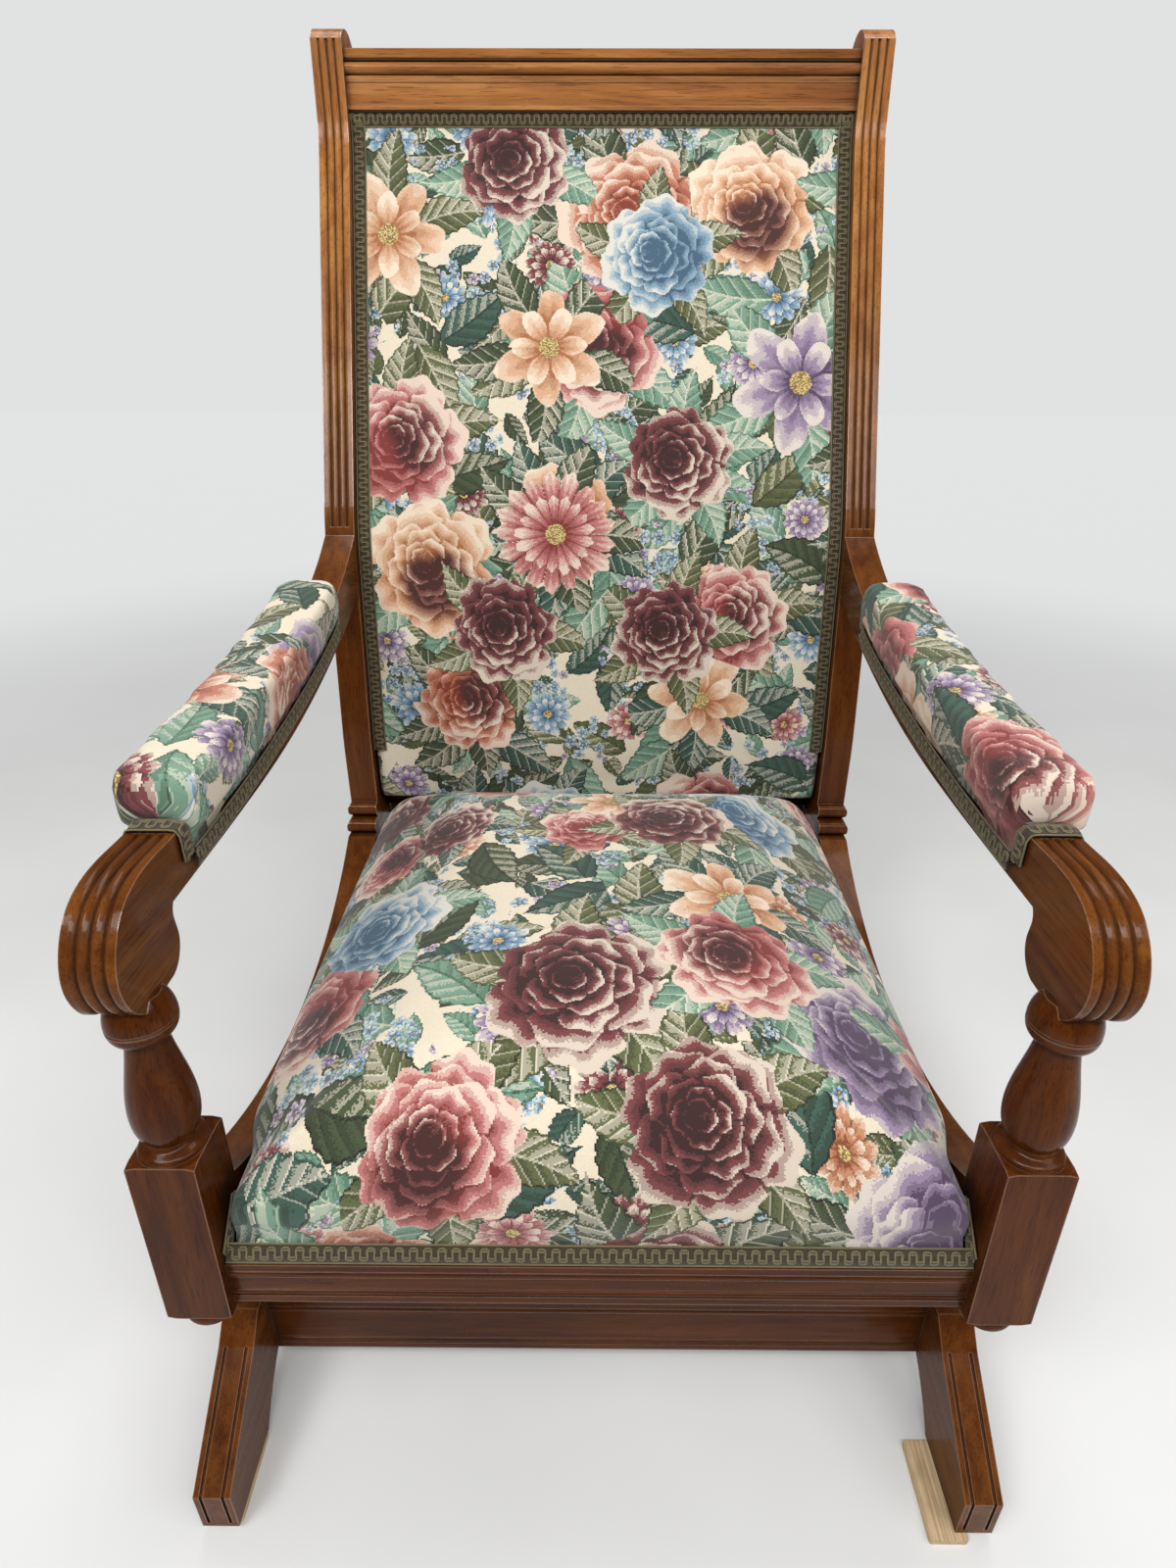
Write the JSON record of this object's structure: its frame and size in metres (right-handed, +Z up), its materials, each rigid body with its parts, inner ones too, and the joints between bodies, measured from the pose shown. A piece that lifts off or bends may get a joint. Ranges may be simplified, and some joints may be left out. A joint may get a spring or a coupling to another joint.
{
  "type": "platform rocker",
  "caption": "Upholstered platform rocking chair with reeded wooden frame, scroll arms over turned posts, domed seat and a low base whose flat rails carry the sprung rockers.",
  "frame": {"origin": "floor, under the middle of the whole chair's outline", "axes": "+Z up, -Y towards the front of the seat, +X to the right as seen from the front"},
  "size_m": [0.624, 0.8669, 1.1026],
  "materials": {
    "frame_wood": "polished walnut-brown hardwood with worn, paler edges",
    "base_wood": "polished reddish-brown hardwood",
    "pale_wood": "bare pale softwood",
    "tapestry": "woven floral tapestry on a cream ground",
    "braid": "olive-brown scroll gimp",
    "webbing": "jute webbing",
    "hessian": "coarse hessian",
    "lining": "thin black lining cloth",
    "back_cloth": "plain olive woven cloth",
    "iron": "dark iron",
    "steel": "dull steel",
    "spring_steel": "dark drawn steel wire"
  },
  "bodies": {
    "base": {"base_rail_left": "base_wood", "base_rail_right": "base_wood", "base_foot_front_left": "base_wood", "base_foot_front_right": "base_wood", "base_foot_rear_left": "base_wood", "base_foot_rear_right": "base_wood", "base_stretcher_front": "base_wood", "base_stretcher_rear": "base_wood", "glide_front_left": "pale_wood", "glide_front_right": "pale_wood", "glide_rear_left": "pale_wood", "glide_rear_right": "pale_wood", "spring_bracket_lower_left": "iron", "spring_bracket_lower_right": "iron", "bracket_screws_lower": "steel", "rocker_springs_left": "spring_steel", "rocker_springs_right": "spring_steel"},
    "chair": {"rocker_rail_left": "frame_wood", "rocker_rail_right": "frame_wood", "back_stile_left": "frame_wood", "back_stile_right": "frame_wood", "arm_left": "frame_wood", "arm_right": "frame_wood", "front_post_left": "frame_wood", "front_post_right": "frame_wood", "front_seat_rail": "frame_wood", "rear_seat_rail": "frame_wood", "seat_side_rail_left": "frame_wood", "seat_side_rail_right": "frame_wood", "corner_blocks": "pale_wood", "crest_rail": "frame_wood", "top_back_rail": "frame_wood", "bottom_back_rail": "frame_wood", "seat_webbing": "webbing", "seat_springs": "spring_steel", "spring_cover": "hessian", "seat_cushion": "tapestry", "dust_cloth": "lining", "back_webbing": "webbing", "back_cushion": "tapestry", "outside_back_cloth": "back_cloth", "arm_pad_left": "tapestry", "arm_pad_right": "tapestry", "gimp_seat": "braid", "gimp_back": "braid", "gimp_arm_left": "braid", "gimp_arm_right": "braid", "spring_bracket_upper_left": "iron", "spring_bracket_upper_right": "iron", "bracket_screws_upper": "steel"}
  },
  "joints": [
    {"name": "rock", "type": "hinge", "parent": "base", "child": "chair", "pos_m": [0, -0.04845, 0.1503], "axis": [-1, 0, 0], "range_deg": [-8, 10], "stiffness_Nm_per_rad": 260, "springref_deg": -2.58, "deforming": ["rocker_springs_left", "rocker_springs_right"]}
  ]
}
